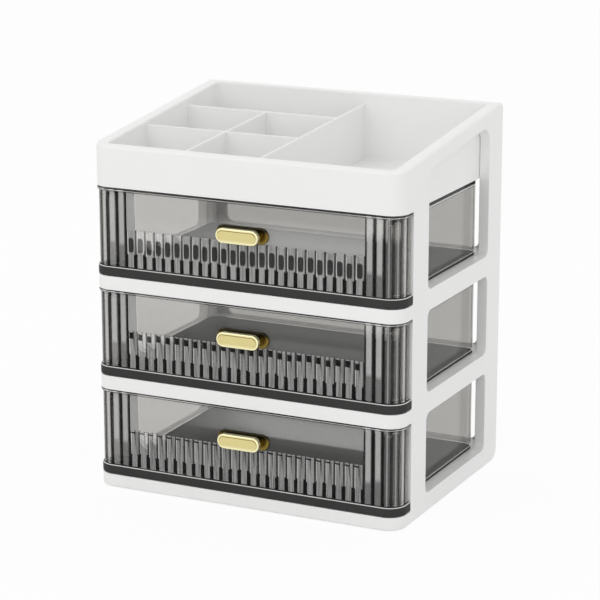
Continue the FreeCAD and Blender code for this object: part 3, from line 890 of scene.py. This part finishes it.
def smoke_plastic():
    material, shader, place = new_finish("smoke_clear_plastic")
    out = stand_out(place)
    up = height(place)
    on_front = out.between(-0.0028, -0.0024)
    on_face = out.between(-0.0006, -0.0003)
    on_wall = 1.0 - on_front
    on_back = on_wall * place.axis("Y").between(box_rear - 0.0024, box_rear - 0.0021)

    tall = place.axis("X").math("ABSOLUTE").between(window_half - SOFT, window_half) * on_face
    short = up.between(reed_top + SOFT, reed_top) * on_face * (1.0 - tall)
    short_dark, short_pale = short_reed_marks(place, up.between(reed_foot, reed_top))
    tall_dark, tall_pale = tall_reed_marks(place, up, out)
    # The rim and the wall tops are painted dark as shade, with thin painted highlight lines on them.
    rim = on_front * up.between(rim_foot - 0.0003, rim_foot)
    rim_highlight = rim * stretch(up - rim_foot, *RIM_HIGHLIGHT, SOFT)
    from_top = box_wall_top - first_rail - up
    wall_top_shade = on_wall * from_top.between(*WALL_TOP_SHADE)
    wall_highlight = on_wall * stretch(from_top, *WALL_HIGHLIGHT, SOFT)
    wall_shade_band = on_wall * stretch(from_top, *WALL_SHADE_BAND, SOFT) * 0.6

    haze = place.noise(300.0, 4.0)
    clear = on_back.tint(on_wall.tint(FRONT_TINT, SIDE_TINT), BACK_SHADE_TINT)
    dark = (short * short_dark + tall * tall_dark) * (1.0 - rim)
    for mark in ((rim - rim_highlight) * 0.85, wall_top_shade, wall_shade_band, (haze - 0.4).math("MAXIMUM", 0.0) * 0.08):
        dark = dark.math("MAXIMUM", mark)
    dark.tint(clear, PAINTED_SHADE_TINT).to(shader.inputs["Base Color"])
    haze.between(0.45, 0.75, 0.008, 0.035).to(shader.inputs["Roughness"])
    place.noise(70.0, 1.0).bump(0.08, 0.0004).to(shader.inputs["Normal"])
    shader.inputs["Transmission Weight"].default_value = 1.0
    shader.inputs["IOR"].default_value = 1.2

    bloom = haze.tint((0.84, 0.84, 0.83, 1), (0.76, 0.76, 0.75, 1))
    satin = place.make("ShaderNodeBsdfPrincipled", 0, None, {"Base Color": bloom, "Roughness": 0.45})
    reeds = (short * short_pale + tall * tall_pale) * (1.0 - dark)
    window = (1.0 - short - tall) * on_face * (1.0 - rim)
    # The satin's share holds painted light: paler reeds, painted highlights, haze patches and the highlight lines.
    scatter = reeds + window * window_haze(place, up) + rim_highlight * 0.4 + wall_highlight * 0.7
    mixed = place.make("ShaderNodeMixShader", 0, None, {0: scatter, 1: Wire(shader.outputs[0]), 2: satin})
    filtered = place.make("ShaderNodeBsdfTransparent", 0, None, {"Color": FILTER_TINT})
    lamp_ray = place.make("ShaderNodeLightPath", "Is Shadow Ray")
    seen = place.make("ShaderNodeMixShader", 0, None, {0: lamp_ray, 1: mixed, 2: filtered})
    seen.to(material.node_tree.nodes["Material Output"].inputs["Surface"])
    return material


smoke = smoke_plastic()
print("finish:", smoke.name)

# %% [markdown]
# ## Drawer shells
# The shell is one clear moulding: a front that wraps round both corners, a thin rim, two sides and a back. Clear
# plastic shows every inner face, so its parts must be one closed skin. The smooth front is a rounded block. A reed is
# a cylinder sliced lengthwise, and 25 of them stand side by side below the window, with six more round each corner.
# All are welded on by a Boolean union, and only then is the inside taken out.

# %% The smooth front and its rim
SEAT = 0.00015
rim_round = 0.0005
rim_weld = 0.0005
front_low = band_high + SEAT
reeds_high = first_rail + reed_top
shell = front_block("shell_pattern", reed_inset, front_low, rim_low + rim_weld, wing_end, 18)
rim = front_block("rim", -top_rim_proud, rim_low, front_high, wing_end, 20)
round_edges(rim, rim_round, 3,
            lambda edge: is_sharp(edge) and (lies_at(edge, z=front_high) or lies_at(edge, z=rim_low)))
combine(shell, rim, "UNION")
print(f"smooth front: {len(shell.data.polygons)} faces")

# %% Reeds
shoulder_reed_count = 2
reed_valley = 0.0004
reed_sink = 0.0004
reed_lift = 0.0002
reed_weld = 0.0003
reed_top_round = 0.0003


def reed(middle, outward, width, crest, low, high):
    """A cylinder of which only the slice remains that stands out from the wall."""
    chord = width - reed_valley
    radius = (chord ** 2 / 4 + crest ** 2) / (2 * crest)
    outward = Vector((outward[0], outward[1], 0)).normalized()
    foot = Vector((middle[0], middle[1], (low + high) / 2))
    bpy.ops.object.select_all(action="DESELECT")
    bpy.ops.mesh.primitive_cylinder_add(vertices=72, radius=radius, depth=high - low,
                                        location=foot - outward * (radius - crest))
    piece = bpy.context.object
    bpy.ops.object.transform_apply(location=True, rotation=True, scale=True)
    slice_off(piece, foot - outward * reed_sink, -outward)
    return round_edges(piece, reed_top_round, 2, lambda edge: lies_at(edge, z=high) and is_sharp(edge))


def reed_row():
    """Every reed of a drawer front."""
    low = front_low + reed_lift
    tall = rim_low + reed_weld
    first = reed((-window_half + reed_pitch / 2, valley), NEARER, reed_pitch, reed_crest, low, reeds_high)
    reeds = [first] + [copy_of(first, "reed", (i * reed_pitch, 0, 0)) for i in range(1, flat_reed_count)]
    shoulder_pitch = shoulder_width / shoulder_reed_count
    centre_x = half_width - corner_radius
    centre_y = front + corner_radius
    radius = corner_radius - reed_inset
    turn = math.pi / 2 / corner_reed_count
    chord = 2 * radius * math.sin(turn / 2)
    sagitta = radius * (1 - math.cos(turn / 2))
    wing = wing_end - centre_y
    for side in (-1, 1):
        for i in range(shoulder_reed_count):
            x = side * (window_half + (i + 0.5) * shoulder_pitch)
            reeds.append(reed((x, valley), NEARER, shoulder_pitch, reed_crest, low, tall))
        for i in range(corner_reed_count):
            angle = turn * (i + 0.5)
            spoke = (side * math.sin(angle), -math.cos(angle))
            foot = (side * centre_x + spoke[0] * (radius - sagitta), centre_y + spoke[1] * (radius - sagitta))
            reeds.append(reed(foot, spoke, chord, reed_crest + sagitta, low, tall))
        wall_x = side * (half_width - reed_inset)
        reeds.append(reed((wall_x, centre_y + wing / 2), (side, 0), wing, reed_crest, low, tall))
    return join("reeds", *reeds)


combine(shell, reed_row(), "UNION")
print(f"reeded front: {len(shell.data.polygons)} faces")

# %% The inside, the box walls and the screw holes
drawer_wall = 0.002
walls_low = floor_high + SEAT
screw_half_spacing = 0.008
screw_hole_radius = 0.0016
notch_lift = 0.0003
pull_z = (pull_box[0].z + pull_box[1].z) / 2

combine(shell, inside_tool(), "DIFFERENCE")
walls = block("walls", (-box_half_width, box_front - OVERLAP, walls_low), (box_half_width, box_rear, box_wall_top))
round_edges(walls, drawer_rear_radius, 10, lambda edge: rear_corners(edge, box_half_width, box_rear))
hollow = block("hollow", (drawer_wall - box_half_width, box_front - REACH, walls_low - REACH),
               (box_half_width - drawer_wall, box_rear - drawer_wall, box_wall_top + REACH))
round_edges(hollow, drawer_rear_radius - drawer_wall, 10,
            lambda edge: rear_corners(edge, box_half_width - drawer_wall, box_rear - drawer_wall))
combine(walls, hollow, "DIFFERENCE")
notch = block("notch", (-half_width, front, walls_low - REACH), (half_width, box_front, front_low + notch_lift))
combine(walls, notch, "DIFFERENCE")
round_edges(walls, drawer_round, 2, lambda edge: lies_at(edge, z=box_wall_top) and is_sharp(edge))
combine(shell, walls, "UNION")
for side in (-1, 1):
    bpy.ops.object.select_all(action="DESELECT")
    bpy.ops.mesh.primitive_cylinder_add(vertices=24, radius=screw_hole_radius, depth=REACH,
                                        location=(side * screw_half_spacing, front, pull_z),
                                        rotation=(math.pi / 2, 0, 0))
    hole = bpy.context.object
    bpy.ops.object.transform_apply(location=True, rotation=True, scale=True)
    combine(shell, hole, "DIFFERENCE")
shells = [copy_of(shell, name + "_clear_shell", (0, 0, level * drawer_pitch))
          for level, name in enumerate(drawer_names)]
bpy.data.objects.remove(shell)
for name, piece in zip(drawer_names, shells):
    hand_over(piece, name, "smoke_clear", smoke, name + "_shell")

# %% [markdown]
# ## Pulls
# A pull is a pill-shaped face with a raised land, on a narrower neck and a long base ring. The face starts as a cube
# whose corners are bevelled until they meet. Inset and extrude then give the land at the front and the neck at the
# back, as by hand, and the ring is a second, longer pill. The plating is pale satin gold on the face, with painted
# light
# and shade: a pale border and a paler lower edge as painted highlights, a dark step round the land and a thin line
# along the top of the land as painted shade. Behind the face the gold is painted darker as shade, nearly black along
# the top, and it is a little rougher there.

# %% Gold finish
land_height = 0.0005
face_depth = 0.0046
face_front = pull_box[0].y + land_height
face_back = face_front + face_depth
ring_step = -0.0003
ring_reach = 0.004
pull_half_length = pull_box[1].x - ring_reach
pull_half_height = (pull_box[1].z - pull_box[0].z) / 2 + ring_step
land_inset = 0.0016


def gold_plating():
    material, shader, place = new_finish("pale_gold_plating")
    brushed = place.stretched(60.0, 2500.0, 2500.0).noise(1.0, 3.0)
    clouds = place.noise(160.0)
    depth = place.axis("Y")
    behind = depth.between(face_back - 0.0014, face_back - 0.0004)
    land = depth.between(face_front - land_height * 0.7, face_front - land_height * 0.8)
    step = depth.between(face_front - land_height * 0.1, face_front - land_height * 0.2) * (1.0 - land)
    rise = height(place) - (pull_z - first_rail)
    past = (place.axis("X").math("ABSOLUTE") - (pull_half_length - pull_half_height)).math("MAXIMUM", 0.0)
    inset = pull_half_height - (past * past + rise * rise).math("SQRT")
    # A thin line of painted shade along the top of the land.
    shade = stretch(inset, land_inset, land_inset + 0.0006, 0.0001) * rise.between(0.0005, 0.0025) * land
    shader.inputs["Metallic"].default_value = 1.0
    polished = clouds.tint((0.75, 0.655, 0.31, 1), (0.72, 0.62, 0.28, 1))
    # Painted highlights: the lower edge of the face and the border outside the land pale; the step round the land dark
    # as painted shade.
    land_with_painted_highlight = rise.between(-0.0025, -0.0040).tint(polished, (0.86, 0.79, 0.46, 1))
    face = step.tint(land.tint((0.93, 0.87, 0.53, 1), land_with_painted_highlight), (0.36, 0.28, 0.07, 1))
    shaded = shade.tint(face, (0.30, 0.25, 0.10, 1))
    # Painted shade behind the face, nearly black along the top.
    shaded_back_gold = rise.between(0.0010, 0.0040).tint((0.24, 0.17, 0.035, 1), (0.035, 0.028, 0.012, 1))
    behind.tint(shaded, shaded_back_gold).to(shader.inputs["Base Color"])
    (brushed * 0.14 + clouds * 0.06 + behind * 0.10 + 0.12).to(shader.inputs["Roughness"])
    brushed.bump(0.10, 0.00002).to(shader.inputs["Normal"])
    return material


gold = gold_plating()
print("finish:", gold.name)

# %% One pull, copied for each drawer
neck_depth = 0.0042
neck_step = 0.001
face_round = 0.0009
land_round = 0.0002
ring_front = face_back + neck_depth
ring_gap = 0.00005
FULL_ROUND = 0.985


def pill(name, reach, half, near, far):
    """A block whose long edges along the depth are rounded until it is a pill."""
    piece = block(name, (-reach, near, pull_z - half), (reach, far, pull_z + half))
    corners = [(x, pull_z + z) for x in (-reach, reach) for z in (-half, half)]
    return round_edges(piece, half * FULL_ROUND, 12, lambda edge: any(lies_at(edge, x=x, z=z) for x, z in corners))


pull = pill("pull_pattern", pull_half_length, pull_half_height, face_front, face_back)
round_edges(pull, face_round, 4, lambda edge: lies_at(edge, y=face_front) or lies_at(edge, y=face_back))
choose(pull, "FACE", lambda face: lies_at(face, y=face_front))
bpy.ops.mesh.inset(thickness=land_inset - face_round, use_even_offset=True)
bpy.ops.mesh.extrude_region_move(TRANSFORM_OT_translate={"value": (0, -land_height, 0)})
close(pull)
round_edges(pull, land_round, 2, lambda edge: lies_at(edge, y=pull_box[0].y) and is_sharp(edge))
choose(pull, "FACE", lambda face: lies_at(face, y=face_back))
bpy.ops.mesh.inset(thickness=neck_step - face_round, use_even_offset=True)
bpy.ops.mesh.extrude_region_move(TRANSFORM_OT_translate={"value": (0, neck_depth, 0)})
close(pull)
ring = pill("ring", pull_box[1].x, pull_half_height - ring_step, ring_front, pull_box[1].y - ring_gap)
round_edges(ring, face_round, 4, lambda edge: lies_at(edge, y=ring_front))
pull = join("pull_pattern", pull, ring)
pulls = [copy_of(pull, name + "_gold_pull", (0, 0, level * drawer_pitch)) for level, name in enumerate(drawer_names)]
bpy.data.objects.remove(pull)
for name, piece in zip(drawer_names, pulls):
    hand_over(piece, name, "pull_gold", gold, name + "_pull")

# %% [markdown]
# ## Feet and screws
# These small turned pieces already have the right shape in the frame, so they stay, and only get better finishes.

# %% Finishes for the nodes that stay
for name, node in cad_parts.items():
    if name.startswith("foot_"):
        node.material_slots[0].material = rubber
    elif name.endswith("_screws"):
        node.material_slots[0].material = steel
print("nodes that stay:", sum(not node.hide_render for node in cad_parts.values()))

# %% [markdown]
# ## Floor, light and camera
# The photograph is a plain product shot on white, with light from all round. Three weak softboxes, at the front left,
# the front right and above, give the front, the side and the rim slightly different tones. The floor and the world are
# white to the camera, and to glass and metal, so these show the same surroundings. The floor still darkens where the
# object keeps the light away from it.

# %% Floor
FLOOR_GLOW = 0.93


def shown_rays(camera_ray):
    """1 for the rays that show a thing: straight ones, and those by way of a gloss or through glass."""
    rays = camera_ray.socket.node.outputs
    bent = Wire(rays["Is Glossy Ray"]).math("MAXIMUM", Wire(rays["Is Transmission Ray"]))
    return camera_ray.math("MAXIMUM", bent)


def floor_paper():
    material, shader, place = new_finish("white_paper_floor")
    fibres = place.noise(900.0, 4.0)
    fibres.tint((0.90, 0.90, 0.90, 1), (0.88, 0.88, 0.88, 1)).to(shader.inputs["Base Color"])
    shader.inputs["Roughness"].default_value = 0.9
    glow = place.make("ShaderNodeEmission", 0, None, {"Color": (1, 1, 1, 1), "Strength": 1.0})
    shown = shown_rays(place.make("ShaderNodeLightPath", "Is Camera Ray"))
    mixed = place.make("ShaderNodeMixShader", 0, None, {0: shown * FLOOR_GLOW, 1: Wire(shader.outputs[0]), 2: glow})
    mixed.to(material.node_tree.nodes["Material Output"].inputs["Surface"])
    return material


bpy.ops.object.select_all(action="DESELECT")
bpy.ops.mesh.primitive_plane_add(size=8, location=(0, 0, 0))
floor = bpy.context.object
floor.name = "floor"
floor.data.materials.append(floor_paper())
print("floor:", floor.name)

# %% World and lamps
WORLD_STRENGTH = 0.83
KEY_POWER = 5.0
FILL_POWER = 3.6
OVERHEAD_POWER = 1.0


def white_world():
    world = bpy.data.worlds.new("white_studio")
    world.use_nodes = True
    tree = world.node_tree
    background = tree.nodes["Background"]
    background.inputs["Color"].default_value = (1, 1, 1, 1)
    shown = shown_rays(Wire(tree.nodes.new("ShaderNodeLightPath").outputs["Is Camera Ray"]))
    (shown * (1 - WORLD_STRENGTH) + WORLD_STRENGTH).to(background.inputs["Strength"])
    return world


def softbox(name, place, target, size, power):
    """A large square lamp that faces a point."""
    lamp = bpy.data.lights.new(name, "AREA")
    lamp.size = size
    lamp.energy = power
    box = bpy.data.objects.new(name, lamp)
    box.location = place
    box.rotation_euler = (Vector(target) - Vector(place)).to_track_quat("-Z", "Y").to_euler()
    bpy.context.scene.collection.objects.link(box)


bpy.context.scene.world = white_world()
softbox("key", (-0.9, -1.8, 1.7), (0, 0, 0.15), 1.6, KEY_POWER)
softbox("fill", (1.0, -2.0, 0.9), (0, 0, 0.15), 1.4, FILL_POWER)
softbox("overhead", (0, -0.2, 2.0), (0, 0, 0.25), 1.2, OVERHEAD_POWER)
print("lamps:", [lamp.name for lamp in bpy.data.lights])

# %% Camera
camera_place = Vector((0.7997, -1.6488, 0.6247))
camera_target = Vector((-0.00004, 0.00478, 0.14313))
lens = bpy.data.cameras.new("photo_camera")
lens.sensor_width = 36.0
lens.lens = 144.22
camera = bpy.data.objects.new("photo_camera", lens)
camera.location = camera_place
camera.rotation_euler = (camera_target - camera_place).to_track_quat("-Z", "Y").to_euler()
bpy.context.scene.collection.objects.link(camera)
bpy.context.scene.camera = camera
bpy.context.scene.view_settings.view_transform = "Standard"
print(f"camera: {(camera_target - camera_place).length:.3f} m away")
